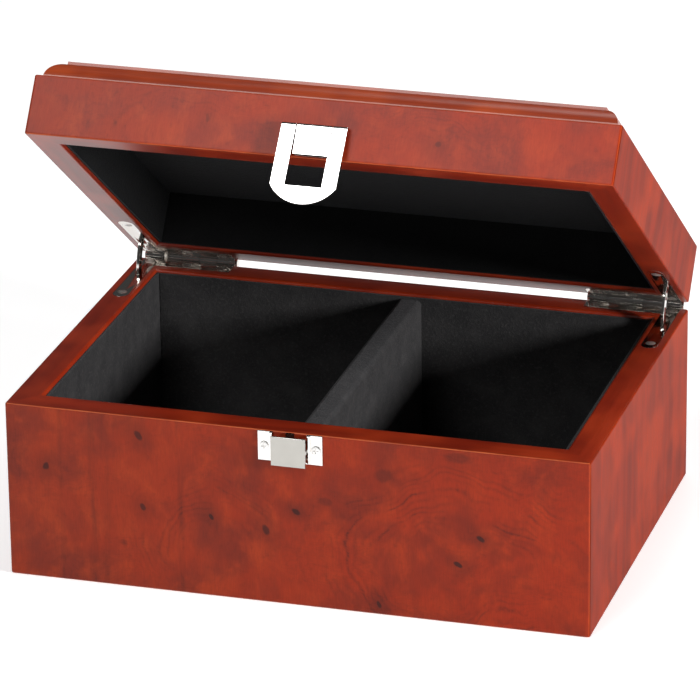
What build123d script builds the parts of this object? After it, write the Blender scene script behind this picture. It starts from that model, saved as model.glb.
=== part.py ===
from build123d import *
import math
import os

# Chess box with a hinged lid: mitred veneered walls, lined base with one divider, ovolo-edged
# lid on two stop hinges, and a hasp that snaps under a sprung press lever.
# Millimetres. Origin at the centre of the underside, +X to the right, +Y to the back, +Z up.
# The lid is modelled shut and then turned to its rest angle about the hinge pins.

# ---- Driving dimensions: box ----
box_width = 272.0
box_depth = 190.0
base_height = 84.0
lid_wall_height = 28.0
wall_thickness = 14.0
veneer_thickness = 0.6
corner_radius = 1.2
outer_edge_radius = 0.8
inner_edge_radius = 1.5
rim_gap = 0.4

# ---- Driving dimensions: bottom and linings ----
bottom_thickness = 5.0
rebate_width = 7.0
lining_thickness = 1.5
lining_drop = 1.3
divider_thickness = 11.5
divider_offset = 4.5
divider_drop = 2.3
divider_edge_radius = 2.4

# ---- Driving dimensions: lid top ----
moulding_height = 10.4
moulding_width = 22.0
ledge_width = 3.0
quirk_height = 1.2
ovolo_radius = 10.0
ovolo_width = 7.8
top_step_height = 1.4

# ---- Driving dimensions: stop hinges ----
hinge_axis_behind = 4.0
hinge_inset = 3.6
knuckle_count = 5
knuckle_length = 9.0
knuckle_radius = 3.25
knuckle_gap = 0.2
leaf_thickness = 1.2
back_leg_width = 9.0
arm_width = 7.6
arm_length = 52.0
leaf_clearance = 0.15
knuckle_clearance = 0.35
pin_radius = 1.6
pin_clearance = 0.05
pin_head_radius = 2.4
pin_head_length = 0.8
hinge_screw_head_radius = 2.3
hinge_screw_shank_radius = 1.1
hinge_screw_length = 9.0
arm_screw_from_end = 6.0
leaf_corner_radius = 2.0
cross_length = 2.4
cross_width = 0.5
cross_depth = 0.45
keeper_cross_depth = 0.4
leg_screw_from_back = 4.6
leg_screw_from_end = 5.0

# ---- Driving dimensions: curved stays ----
stay_radius = 25.0
stay_width = 4.0
stay_thickness = 1.5
stay_clearance = 0.3
stay_head_width = 6.0
stay_head_length = 1.5
pocket_clearance = 0.5
stay_spare_angle = 0.2
pocket_spare_angle = 1.5

# ---- Driving dimensions: hasp on the lid ----
hasp_offset = -1.3
hasp_width = 30.6
hasp_top_above_rim = 15.5
hasp_pin_radius = 1.0
hasp_barrel_radius = 1.65
hasp_barrel_clearance = 0.1
loop_thickness = 1.5
loop_window_width = 16.8
loop_window_bottom = 30.3
loop_straight_length = 30.4
loop_length = 39.0
cover_gap = 0.4
cover_length = 14.7
hasp_leaf_thickness = 0.8
hasp_screw_spacing = 9.0
hasp_screw_radius = 0.9
hasp_screw_head_radius = 1.7
hasp_screw_head_height = 0.5
hasp_screw_length = 8.0

# ---- Driving dimensions: keeper on the base ----
keeper_width = 29.9
keeper_height = 13.9
keeper_top_drop = 0.2
keeper_plate_thickness = 0.8
ear_thickness = 1.3
ear_gap = 0.15
ear_height = 1.0
ear_end_drop = 0.2
ear_corner_radius = 0.5
keeper_notch_depth = 2.6
keeper_tab_width = 4.0
keeper_opening_height = 7.2
lever_width = 16.0
lever_height = 14.0
lever_top_drop = 0.9
lever_front = 4.5
lever_thickness = 0.8
lever_cheek_thickness = 0.7
lever_cheek_radius = 0.8
lever_edge_radius = 0.35
axle_radius = 0.4
axle_above_plate = 0.35
axle_clearance = 0.05
spring_wire_radius = 0.22
spring_coil_radius = 0.68
spring_turns = 5.5
spring_pitch = 0.6
spring_long_leg = 3.2
spring_short_leg = 0.6
keeper_screw_head_radius = 2.1
keeper_screw_head_height = 0.5
keeper_screw_radius = 1.1
keeper_screw_length = 9.0
keeper_screw_from_end = 2.9

# ---- Rest pose ----
lid_open_max = 95.0
lid_rest_angle = 36.5
hasp_rest_angle = 6.0

# ---- Derived places ----
half_width = box_width / 2
half_depth = box_depth / 2
inner_half_width = half_width - wall_thickness
inner_half_depth = half_depth - wall_thickness
lid_rim = base_height + rim_gap
lid_wall_top = lid_rim + lid_wall_height
hinge_y = half_depth + hinge_axis_behind
hinge_z = base_height + rim_gap / 2
hinge_axis = Axis((0, hinge_y, hinge_z), (-1, 0, 0))
floor_top = bottom_thickness + lining_thickness
mitre_reach = 30.0
cut_margin = 5.0
arm_centre = hinge_inset + arm_width / 2
stay_x = half_width - arm_centre
face_y = -half_depth

parts = {}


def save(name, shape):
    """Keep one sub-part under its node name."""
    parts[name] = shape


def group(pieces):
    """Several separate solids under one name."""
    return Compound([solid for piece in pieces for solid in piece.solids()])


def block(x0, x1, y0, y1, z0, z1):
    """A box between two corners."""
    return Pos((x0 + x1) / 2, (y0 + y1) / 2, (z0 + z1) / 2) * Box(x1 - x0, y1 - y0, z1 - z0)


def rod(x0, x1, y, z, radius):
    """A cylinder along X."""
    return Pos((x0 + x1) / 2, y, z) * Rot(0, 90, 0) * Cylinder(radius, x1 - x0)


def upright(x, y, z0, z1, radius):
    """A cylinder along Z."""
    return Pos(x, y, (z0 + z1) / 2) * Cylinder(radius, z1 - z0)


def fore_rod(x, z, y0, y1, radius):
    """A cylinder along Y."""
    return Pos(x, (y0 + y1) / 2, z) * Rot(90, 0, 0) * Cylinder(radius, y1 - y0)


def mitre_wedge(half_along, half_across, z0, z1):
    """The front quarter of a mitred frame: its 45 degree ends pass through the corners."""
    outline = Polyline(
        (-half_along - cut_margin, -half_across - cut_margin),
        (half_along + cut_margin, -half_across - cut_margin),
        (half_along - mitre_reach, -half_across + mitre_reach),
        (-half_along + mitre_reach, -half_across + mitre_reach),
        close=True,
    )
    return Pos(0, 0, z0) * extrude(make_face(outline), z1 - z0)


SIDES = {
    "front": (half_width, half_depth),
    "right": (half_depth, half_width),
    "back": (half_width, half_depth),
    "left": (half_depth, half_width),
}
QUARTER_TURN = 90


def side_turn(side):
    """How far round the box a side lies from the front."""
    return Rot(0, 0, QUARTER_TURN * list(SIDES).index(side))


def side_wedge(side, z0, z1):
    """The mitred quarter of the frame that belongs to one side."""
    half_along, half_across = SIDES[side]
    return side_turn(side) * mitre_wedge(half_along, half_across, z0, z1)


# ---- Hinge outline, shared by the leaves and their recesses ----
hinge_length = knuckle_count * knuckle_length


def leaf_outline(grow):
    """The L-shaped leaf seen from above, at the right-hand hinge, grown by a clearance."""
    outer = half_width - hinge_inset + grow
    arm_inner = half_width - hinge_inset - arm_width - grow
    leg_inner = half_width - hinge_inset - hinge_length - grow
    arm_end = half_depth - arm_length
    end_radius = arm_width / 2 + grow
    arm_centre_y = arm_end + arm_width / 2
    arm_x = half_width - arm_centre
    leg_front = half_depth - back_leg_width - grow
    leg = Pos((outer + leg_inner) / 2, (leg_front + hinge_y) / 2) * Rectangle(
        outer - leg_inner, hinge_y - leg_front
    )
    arm = Pos((outer + arm_inner) / 2, (arm_centre_y + hinge_y) / 2) * Rectangle(
        outer - arm_inner, hinge_y - arm_centre_y
    )
    tip = Pos(arm_x, arm_centre_y) * Circle(end_radius)
    return leg + arm + tip


def leaf_slab(grow, z0, z1):
    """The leaf outline as a slab between two heights."""
    return Pos(0, 0, z0) * extrude(leaf_outline(grow), z1 - z0)


def annular_sector(x, radius, band, thickness, start, sweep):
    """A curved bar round the hinge pins. Angles start at the front and rise with the lid."""
    inner = radius - band / 2
    outer = radius + band / 2
    first = math.radians(start)
    last = math.radians(start + sweep)

    def at(length, angle):
        return (length * math.cos(angle), length * math.sin(angle))

    plane = Plane(origin=(x + thickness / 2, hinge_y, hinge_z), x_dir=(0, -1, 0), z_dir=(-1, 0, 0))
    outline = [
        CenterArc((0, 0), outer, start, sweep),
        Line(at(outer, last), at(inner, last)),
        CenterArc((0, 0), inner, start + sweep, -sweep),
        Line(at(inner, first), at(outer, first)),
    ]
    return plane * extrude(make_face(Wire(outline)), thickness)


# The shoulders of a stay stop it under the leaves when the lid is fully open.
leaf_angle = math.degrees((leaf_thickness + rim_gap / 2) / (stay_radius - stay_width / 2))
stay_half_sweep = lid_open_max / 2 + leaf_angle + stay_spare_angle
head_angle = math.degrees(stay_head_length / stay_radius)
pocket_sweep = stay_half_sweep + head_angle + pocket_spare_angle
pocket_band = stay_head_width + 2 * pocket_clearance
pocket_width = stay_thickness + 2 * pocket_clearance
slot_band = stay_width + 2 * stay_clearance
slot_width = stay_thickness + 2 * stay_clearance


def mirrored(shape):
    """The same piece on the left-hand side."""
    return mirror(shape, about=Plane.YZ)


def hinge_screw_places():
    """Centres of the leaf screws of the right-hand hinge."""
    arm_x = half_width - arm_centre
    leg_screw_y = half_depth - leg_screw_from_back
    return [
        (arm_x, half_depth - arm_length + arm_screw_from_end),
        (arm_x, leg_screw_y),
        (half_width - hinge_inset - hinge_length / 2, leg_screw_y),
        (half_width - hinge_inset - hinge_length + leg_screw_from_end, leg_screw_y),
    ]


def stay_band(band, width, start, sweep):
    """A curved bar in the plane of the right-hand stay."""
    return annular_sector(stay_x, stay_radius, band, width, start, sweep)


# ---- Base walls ----
def rounded_shell(z0, z1, top_radius, bottom_radius):
    """The full outer block of the base or lid with its corners and edges rounded."""
    shell = Pos(0, 0, z0) * extrude(RectangleRounded(box_width, box_depth, corner_radius), z1 - z0)
    if top_radius > 0:
        shell = fillet(shell.faces().sort_by(Axis.Z)[-1].edges(), top_radius)
    if bottom_radius > 0:
        shell = fillet(shell.faces().sort_by(Axis.Z)[0].edges(), bottom_radius)
    return shell


def core_block(z0, z1):
    """The block behind the veneer."""
    width = box_width - 2 * veneer_thickness
    depth = box_depth - 2 * veneer_thickness
    radius = corner_radius - veneer_thickness
    return Pos(0, 0, z0) * extrude(RectangleRounded(width, depth, radius), z1 - z0)


def cavity(z0, z1):
    """The space inside the walls."""
    return block(-inner_half_width, inner_half_width, -inner_half_depth, inner_half_depth, z0, z1)


def round_inner_rim(frame, rim_z):
    """Round the inner edge of the rim."""
    rim = frame.faces().filter_by(lambda face: abs(face.center().Z - rim_z) < 1e-6)
    edges = rim[0].inner_wires()[0].edges()
    return fillet(edges, inner_edge_radius)


base_shell = rounded_shell(0, base_height, outer_edge_radius, outer_edge_radius)
base_core = base_shell & core_block(0, base_height)
base_frame = round_inner_rim(base_core - cavity(-cut_margin, base_height + cut_margin), base_height)
rebate_half_width = inner_half_width + rebate_width
rebate_half_depth = inner_half_depth + rebate_width
base_frame -= block(
    -rebate_half_width, rebate_half_width, -rebate_half_depth, rebate_half_depth, -1, bottom_thickness
)
base_skin = base_shell - core_block(-cut_margin, base_height + cut_margin)

base_recess = leaf_slab(leaf_clearance, base_height - leaf_thickness, base_height + cut_margin)
base_pocket = stay_band(pocket_band, pocket_width, -pocket_sweep, pocket_sweep)
for cutter in (base_recess, base_pocket):
    base_frame -= cutter
    base_frame -= mirrored(cutter)
    base_skin -= cutter
    base_skin -= mirrored(cutter)

# ---- Lid walls, shut ----
lid_shell = rounded_shell(lid_rim, lid_wall_top, outer_edge_radius, outer_edge_radius)
lid_core = lid_shell & core_block(lid_rim, lid_wall_top)
lid_cut_bottom = lid_rim - cut_margin
lid_cut_top = lid_wall_top + cut_margin
lid_frame = round_inner_rim(lid_core - cavity(lid_cut_bottom, lid_cut_top), lid_rim)
lid_skin = lid_shell - core_block(lid_cut_bottom, lid_cut_top)
lid_recess = leaf_slab(leaf_clearance, lid_cut_bottom, lid_rim + leaf_thickness)
lid_pocket = stay_band(pocket_band, pocket_width, 0, pocket_sweep)
for cutter in (lid_recess, lid_pocket):
    lid_frame -= cutter
    lid_frame -= mirrored(cutter)
    lid_skin -= cutter
    lid_skin -= mirrored(cutter)

# ---- Hasp and keeper places, lid shut ----
hasp_pin_y = face_y - hasp_barrel_radius - hasp_barrel_clearance
hasp_top = lid_rim + hasp_top_above_rim
hasp_pin_z = hasp_top - hasp_barrel_radius
hasp_axis = Axis((hasp_offset, hasp_pin_y, hasp_pin_z), (-1, 0, 0))
hasp_front = hasp_pin_y - hasp_barrel_radius
hasp_half_width = hasp_width / 2
window_half_width = loop_window_width / 2
cover_half_width = window_half_width - cover_gap
hasp_screw_z = hasp_pin_z - (cover_length - hasp_barrel_radius) / 2
keeper_top = base_height - keeper_top_drop
keeper_bottom = keeper_top - keeper_height
keeper_half_width = keeper_width / 2
keeper_face = face_y - keeper_plate_thickness
lever_half_width = lever_width / 2
lever_top = base_height - lever_top_drop
lever_bottom = lever_top - lever_height
lever_face = face_y - lever_front
lever_back = lever_face + lever_thickness
axle_y = keeper_face - axle_above_plate
axle_z = (lever_top + lever_bottom) / 2
ear_inner = lever_half_width + ear_gap
ear_outer = ear_inner + ear_thickness
keeper_screw_x = keeper_half_width - keeper_screw_from_end
keeper_screw_z = (keeper_top + keeper_bottom) / 2


def drill(frame, skin, hole):
    """Cut one screw hole through veneer and board."""
    return frame - hole, skin - hole


# ---- Screw holes in the walls ----
for screw_x, screw_y in hinge_screw_places():
    base_hole = upright(
        screw_x, screw_y, base_height - hinge_screw_length, base_height, hinge_screw_shank_radius
    )
    lid_hole = upright(
        screw_x, screw_y, lid_rim, lid_rim + hinge_screw_length, hinge_screw_shank_radius
    )
    base_frame -= base_hole
    base_frame -= mirrored(base_hole)
    lid_frame -= lid_hole
    lid_frame -= mirrored(lid_hole)
for side in (-1, 1):
    keeper_hole = fore_rod(
        hasp_offset + side * keeper_screw_x,
        keeper_screw_z,
        face_y - cut_margin,
        face_y + keeper_screw_length,
        keeper_screw_radius,
    )
    base_frame, base_skin = drill(base_frame, base_skin, keeper_hole)
    hasp_hole = fore_rod(
        hasp_offset + side * hasp_screw_spacing / 2,
        hasp_screw_z,
        face_y - cut_margin,
        face_y + hasp_screw_length,
        hasp_screw_radius,
    )
    lid_frame, lid_skin = drill(lid_frame, lid_skin, hasp_hole)

for side in SIDES:
    base_quarter = side_wedge(side, -cut_margin, base_height + cut_margin)
    lid_quarter = side_wedge(side, lid_cut_bottom, lid_cut_top)
    save("base_" + side + "_wall", base_frame & base_quarter)
    save("base_" + side + "_veneer", base_skin & base_quarter)
    save("lid_" + side + "_wall", lid_frame & lid_quarter)
    save("lid_" + side + "_veneer", lid_skin & lid_quarter)

# ---- Bottom, linings and divider ----
def slab(half_x, half_y, z0, z1):
    """A panel centred on the box."""
    return block(-half_x, half_x, -half_y, half_y, z0, z1)


save("base_bottom_panel", slab(rebate_half_width, rebate_half_depth, 0, bottom_thickness))
lined_half_width = inner_half_width - lining_thickness
lined_half_depth = inner_half_depth - lining_thickness


def side_linings(prefix, z0, z1):
    """The four lining cards that stand against the walls."""
    side = block(lined_half_width, inner_half_width, -inner_half_depth, inner_half_depth, z0, z1)
    back = block(-lined_half_width, lined_half_width, lined_half_depth, inner_half_depth, z0, z1)
    save(prefix + "_lining_right", side)
    save(prefix + "_lining_left", mirrored(side))
    save(prefix + "_lining_back", back)
    save(prefix + "_lining_front", mirror(back, about=Plane.XZ))


side_linings("base", bottom_thickness, base_height - lining_drop)
side_linings("lid", lid_rim + lining_drop, lid_wall_top - lining_thickness)
divider_left = divider_offset - divider_thickness / 2
divider_right = divider_offset + divider_thickness / 2
divider_top = base_height - divider_drop


def between_linings(x0, x1, z1):
    """A card or board on the bottom panel, from the front lining to the back one."""
    return block(x0, x1, -lined_half_depth, lined_half_depth, bottom_thickness, z1)


save("base_lining_floor_left", between_linings(-lined_half_width, divider_left, floor_top))
save("base_lining_floor_right", between_linings(divider_right, lined_half_width, floor_top))
divider = between_linings(divider_left, divider_right, divider_top)
divider_top_edges = divider.faces().sort_by(Axis.Z)[-1].edges().filter_by(Axis.Y)
save("compartment_divider", fillet(divider_top_edges, divider_edge_radius))

# ---- Lid top ----
lid_top = lid_wall_top + moulding_height


def moulding_profile(half_across):
    """Section of the moulding in the YZ plane, at the front of the lid."""
    face = -half_across
    foot = (face + ledge_width, 0)
    quirk = (face + ledge_width, quirk_height)
    crown = (face + ledge_width + ovolo_width, moulding_height - top_step_height)
    chord_y = crown[0] - quirk[0]
    chord_z = crown[1] - quirk[1]
    chord = math.hypot(chord_y, chord_z)
    bulge = ovolo_radius - math.sqrt(ovolo_radius**2 - (chord / 2) ** 2)
    middle = (
        (quirk[0] + crown[0]) / 2 - bulge * chord_z / chord,
        (quirk[1] + crown[1]) / 2 + bulge * chord_y / chord,
    )
    step = (crown[0], moulding_height)
    back_top = (face + moulding_width, moulding_height)
    back_foot = (face + moulding_width, 0)
    edges = [
        Line(foot, quirk),
        ThreePointArc(quirk, middle, crown),
        Line(crown, step),
        Line(step, back_top),
        Line(back_top, back_foot),
        Line(back_foot, foot),
    ]
    return make_face(Wire(edges))


def moulding(side):
    """One mitred length of moulding."""
    half_along, half_across = SIDES[side]
    plane = Plane(origin=(-half_along, 0, lid_wall_top), x_dir=(0, 1, 0), z_dir=(1, 0, 0))
    strip = plane * extrude(moulding_profile(half_across), 2 * half_along)
    return side_turn(side) * strip & side_wedge(side, lid_rim, lid_top + cut_margin)


for side in SIDES:
    save("lid_moulding_" + side, moulding(side))
panel_half_width = half_width - moulding_width
panel_half_depth = half_depth - moulding_width
panel_top = lid_top - veneer_thickness
lining_bottom = lid_wall_top - lining_thickness
save("lid_top_panel", slab(panel_half_width, panel_half_depth, lid_wall_top, panel_top))
save("lid_top_veneer", slab(panel_half_width, panel_half_depth, panel_top, lid_top))
save("lid_lining_top", slab(inner_half_width, inner_half_depth, lining_bottom, lid_wall_top))


# ---- Stop hinges, right-hand one; the left one is its mirror image ----
def knuckle_span(index):
    """The stretch of one knuckle along X, counted from the outer end."""
    outer = half_width - hinge_inset - index * knuckle_length - knuckle_gap / 2
    return outer - knuckle_length + knuckle_gap, outer


def screw_sink(screw_x, screw_y, face_z, into, grow):
    """The cone under a countersunk head whose face lies at face_z."""
    cone = Cone(
        hinge_screw_shank_radius + grow,
        hinge_screw_head_radius + grow,
        leaf_thickness,
    )
    turned = cone if into < 0 else Rot(180, 0, 0) * cone
    return Pos(screw_x, screw_y, face_z + into * leaf_thickness / 2) * turned


def hinge_leaf(face_z, into, own, other):
    """One leaf with its knuckles. into is -1 when the leaf lies below its face, +1 above."""
    z0, z1 = sorted((face_z, face_z + into * leaf_thickness))
    leaf = leaf_slab(0, z0, z1)
    room_radius = knuckle_radius + knuckle_clearance
    inner_x = half_width - hinge_inset - hinge_length
    corner = (inner_x, half_depth - back_leg_width, (z0 + z1) / 2)
    leaf = fillet(leaf.edges().filter_by(Axis.Z).sort_by_distance(corner)[0], leaf_corner_radius)
    for index in other:
        span0, span1 = knuckle_span(index)
        leaf -= rod(span0 - knuckle_gap, span1 + knuckle_gap, hinge_y, hinge_z, room_radius)
    for index in own:
        span0, span1 = knuckle_span(index)
        leaf += rod(span0, span1, hinge_y, hinge_z, knuckle_radius)
    leaf -= rod(inner_x - cut_margin, half_width, hinge_y, hinge_z, pin_radius + pin_clearance)
    leaf -= stay_band(slot_band, slot_width, -slot_half_sweep, 2 * slot_half_sweep)
    for screw_x, screw_y in hinge_screw_places():
        leaf -= screw_sink(screw_x, screw_y, face_z, into, pin_clearance)
    return leaf


def hinge_screw(screw_x, screw_y, face_z, into):
    """A countersunk screw with a cross recess."""
    tip_z = face_z + into * hinge_screw_length
    shank_z = face_z + into * leaf_thickness
    z0, z1 = sorted((tip_z, shank_z))
    screw = screw_sink(screw_x, screw_y, face_z, into, 0)
    screw += upright(screw_x, screw_y, z0, z1, hinge_screw_shank_radius - pin_clearance)
    for turn in (45, 135):
        screw -= Pos(screw_x, screw_y, face_z) * Rot(0, 0, turn) * Box(
            cross_length, cross_width, 2 * cross_depth
        )
    return screw


lid_knuckles = range(0, knuckle_count, 2)
base_knuckles = range(1, knuckle_count, 2)
slot_half_sweep = math.degrees(3 * leaf_thickness / stay_radius)
base_leaf = hinge_leaf(base_height, -1, base_knuckles, lid_knuckles)
lid_leaf = hinge_leaf(lid_rim, 1, lid_knuckles, base_knuckles)
save("right_hinge_base_leaf", base_leaf)
save("left_hinge_base_leaf", mirrored(base_leaf))
save("right_hinge_lid_leaf", lid_leaf)
save("left_hinge_lid_leaf", mirrored(lid_leaf))

pin_outer = half_width - hinge_inset + pin_clearance
pin_inner = half_width - hinge_inset - hinge_length - pin_clearance
hinge_pin = rod(pin_inner, pin_outer, hinge_y, hinge_z, pin_radius)
hinge_pin += rod(pin_outer, pin_outer + pin_head_length, hinge_y, hinge_z, pin_head_radius)
hinge_pin += rod(pin_inner - pin_head_length, pin_inner, hinge_y, hinge_z, pin_head_radius)
save("right_hinge_pin", hinge_pin)
save("left_hinge_pin", mirrored(hinge_pin))

base_screws = []
lid_screws = []
for screw_x, screw_y in hinge_screw_places():
    base_screw = hinge_screw(screw_x, screw_y, base_height, -1)
    lid_screw = hinge_screw(screw_x, screw_y, lid_rim, 1)
    base_screws += [base_screw, mirrored(base_screw)]
    lid_screws += [lid_screw, mirrored(lid_screw)]
save("hinge_base_screws", group(base_screws))
save("hinge_lid_screws", group(lid_screws))

stay = stay_band(stay_width, stay_thickness, -stay_half_sweep, 2 * stay_half_sweep)
stay += stay_band(stay_head_width, stay_thickness, stay_half_sweep, head_angle)
stay += stay_band(stay_head_width, stay_thickness, -stay_half_sweep - head_angle, head_angle)
save("right_hinge_stay", stay)
save("left_hinge_stay", mirrored(stay))

# ---- Hasp ----
def sheet(outline, y_front, thickness):
    """A flat piece cut from sheet, its front face at y_front."""
    plane = Plane(origin=(hasp_offset, y_front + thickness, 0), x_dir=(1, 0, 0), z_dir=(0, -1, 0))
    return plane * extrude(make_face(Wire(outline)), thickness)


loop_shoulder = hasp_top - loop_straight_length
loop_end = hasp_top - loop_length
window_bottom = hasp_top - loop_window_bottom
loop_outline = [
    Line((-hasp_half_width, hasp_pin_z), (-hasp_half_width, loop_shoulder)),
    ThreePointArc((-hasp_half_width, loop_shoulder), (0, loop_end), (hasp_half_width, loop_shoulder)),
    Line((hasp_half_width, loop_shoulder), (hasp_half_width, hasp_pin_z)),
    Line((hasp_half_width, hasp_pin_z), (window_half_width, hasp_pin_z)),
    Line((window_half_width, hasp_pin_z), (window_half_width, window_bottom)),
    Line((window_half_width, window_bottom), (-window_half_width, window_bottom)),
    Line((-window_half_width, window_bottom), (-window_half_width, hasp_pin_z)),
    Line((-window_half_width, hasp_pin_z), (-hasp_half_width, hasp_pin_z)),
]
hasp_loop = sheet(loop_outline, hasp_front, loop_thickness)


def hasp_rod(x0, x1, radius):
    """A cylinder round the hasp's pin, between two distances from the hasp's middle."""
    return rod(hasp_offset + x0, hasp_offset + x1, hasp_pin_y, hasp_pin_z, radius)


def cover_leaf(y0):
    """One flat leaf of the fixed plate, hanging from the pin."""
    left = hasp_offset - cover_half_width
    right = hasp_offset + cover_half_width
    return block(left, right, y0, y0 + hasp_leaf_thickness, hasp_top - cover_length, hasp_pin_z)


hasp_bore = hasp_rod(-hasp_width, hasp_width, hasp_pin_radius + pin_clearance)
hasp_loop += hasp_rod(-hasp_half_width, -window_half_width, hasp_barrel_radius)
hasp_loop += hasp_rod(window_half_width, hasp_half_width, hasp_barrel_radius)
save("hasp_loop", hasp_loop - hasp_bore)

hasp_leaf_face = face_y - hasp_leaf_thickness
hasp_plate = hasp_rod(-cover_half_width, cover_half_width, hasp_barrel_radius)
hasp_plate += cover_leaf(hasp_leaf_face)
hasp_plate += cover_leaf(hasp_front)
hasp_plate -= hasp_bore
hasp_screws = []
for side in (-1, 1):
    screw_x = hasp_offset + side * hasp_screw_spacing / 2
    tip_y = face_y + hasp_screw_length
    head_y = hasp_leaf_face - hasp_screw_head_height
    hole = fore_rod(screw_x, hasp_screw_z, hasp_leaf_face - pin_clearance, tip_y, hasp_screw_radius)
    shank_radius = hasp_screw_radius - pin_clearance
    screw = fore_rod(screw_x, hasp_screw_z, hasp_leaf_face, tip_y, shank_radius)
    screw += fore_rod(screw_x, hasp_screw_z, head_y, hasp_leaf_face, hasp_screw_head_radius)
    hasp_plate -= hole
    hasp_screws.append(screw)
save("hasp_plate", hasp_plate)
save("hasp_pin", hasp_rod(-hasp_half_width, hasp_half_width, hasp_pin_radius))
save("hasp_screws", group(hasp_screws))

# ---- Keeper ----
def keeper_block(x0, x1, y0, y1, z0, z1):
    """A box between two distances from the keeper's middle, taken in either order."""
    left, right = sorted((hasp_offset + x0, hasp_offset + x1))
    return block(left, right, y0, y1, z0, z1)


def axle_rod(x0, x1, radius):
    """A cylinder round the lever's axle, between two distances from its middle."""
    left, right = sorted((hasp_offset + x0, hasp_offset + x1))
    return rod(left, right, axle_y, axle_z, radius)


notch_bottom = keeper_top - keeper_notch_depth
keeper_opening = keeper_block(
    -ear_inner,
    ear_inner,
    keeper_face - cut_margin,
    face_y + cut_margin,
    axle_z - keeper_opening_height / 2,
    axle_z + keeper_opening_height / 2,
)
axle_half_length = ear_outer + axle_clearance
keeper_plate = keeper_block(
    -keeper_half_width, keeper_half_width, keeper_face, face_y, keeper_bottom, keeper_top
)
keeper_plate -= keeper_opening
keeper_screws = []
for side in (-1, 1):
    notch = keeper_block(
        side * keeper_tab_width / 2,
        side * lever_half_width,
        keeper_face - cut_margin,
        face_y + cut_margin,
        notch_bottom,
        keeper_top + cut_margin,
    )
    ear = keeper_block(
        side * ear_inner,
        side * ear_outer,
        keeper_face - ear_height,
        keeper_face,
        keeper_bottom + ear_end_drop,
        keeper_top - ear_end_drop,
    )
    ear_corners = ear.faces().sort_by(Axis.Y)[0].edges().filter_by(Axis.X)
    screw_x = hasp_offset + side * keeper_screw_x
    tip_y = face_y + keeper_screw_length
    head_y = keeper_face - keeper_screw_head_height
    hole = fore_rod(screw_x, keeper_screw_z, keeper_face - pin_clearance, tip_y, keeper_screw_radius)
    shank_radius = keeper_screw_radius - pin_clearance
    screw = fore_rod(screw_x, keeper_screw_z, keeper_face, tip_y, shank_radius)
    screw += fore_rod(screw_x, keeper_screw_z, head_y, keeper_face, keeper_screw_head_radius)
    cross_bar = Box(cross_length, 2 * keeper_cross_depth, cross_width)
    for turn in (0, 90):
        screw -= Pos(screw_x, head_y, keeper_screw_z) * Rot(0, turn, 0) * cross_bar
    keeper_plate -= notch
    keeper_plate += fillet(ear_corners, ear_corner_radius)
    keeper_plate -= hole
    keeper_screws.append(screw)
axle_bore = axle_rod(-axle_half_length, axle_half_length, axle_radius + axle_clearance)
save("keeper_plate", keeper_plate - axle_bore)
save("keeper_axle", axle_rod(-axle_half_length, axle_half_length, axle_radius))
save("keeper_screws", group(keeper_screws))

lever = keeper_block(
    -lever_half_width, lever_half_width, lever_face, lever_back, lever_bottom, lever_top
)
lever = fillet(lever.faces().sort_by(Axis.Y)[0].edges(), lever_edge_radius)
cheek_inner = lever_half_width - lever_cheek_thickness
for side in (-1, 1):
    lever += axle_rod(side * cheek_inner, side * lever_half_width, lever_cheek_radius)
    lever += keeper_block(
        side * cheek_inner,
        side * lever_half_width,
        lever_back,
        axle_y,
        axle_z - lever_cheek_radius,
        axle_z + lever_cheek_radius,
    )
save("keeper_lever", lever - axle_bore)

spring_height = spring_turns * spring_pitch
spring_plane = Plane(
    origin=(hasp_offset - spring_height / 2, axle_y, axle_z), x_dir=(0, 1, 0), z_dir=(1, 0, 0)
)
coil_path = Helix(spring_pitch, spring_height, spring_coil_radius, lefthand=True)
coil_start = Plane(origin=coil_path @ 0, z_dir=coil_path % 0)
coil = sweep(coil_start * Circle(spring_wire_radius), path=coil_path, is_frenet=True)
keeper_spring = spring_plane * coil
coil_ends = keeper_spring.faces().filter_by(GeomType.PLANE).sort_by(Axis.X)
keeper_spring += extrude(coil_ends[0], spring_long_leg)
keeper_spring += extrude(coil_ends[-1], spring_short_leg)
save("keeper_spring", keeper_spring)

# ---- Turn the moving pieces to the rest pose and write the files ----
LID_NODES = [name for name in parts if name.startswith("lid_") or name.endswith("_hinge_lid_leaf")]
LID_NODES += ["hinge_lid_screws", "hasp_plate", "hasp_pin", "hasp_screws", "hasp_loop"]
STAY_NODES = ["left_hinge_stay", "right_hinge_stay"]
parts["hasp_loop"] = parts["hasp_loop"].rotate(hasp_axis, hasp_rest_angle)
for name in LID_NODES:
    parts[name] = parts[name].rotate(hinge_axis, lid_rest_angle)
for name in STAY_NODES:
    parts[name] = parts[name].rotate(hinge_axis, lid_rest_angle / 2)

os.makedirs("parts", exist_ok=True)
for name, shape in parts.items():
    export_step(shape, "parts/" + name + ".step")
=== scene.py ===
"""Looks of a chess box with a hinged lid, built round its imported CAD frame.

Every object stays in the frame of the box: metres, origin at the centre of the underside,
+X to the right, +Y to the back and +Z up. Patterns are laid out in millimetres of that frame.
"""

import logging
import math
from collections.abc import Sequence
from dataclasses import dataclass
from enum import Enum

import bmesh
import bpy
from mathutils import Matrix, Vector


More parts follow.
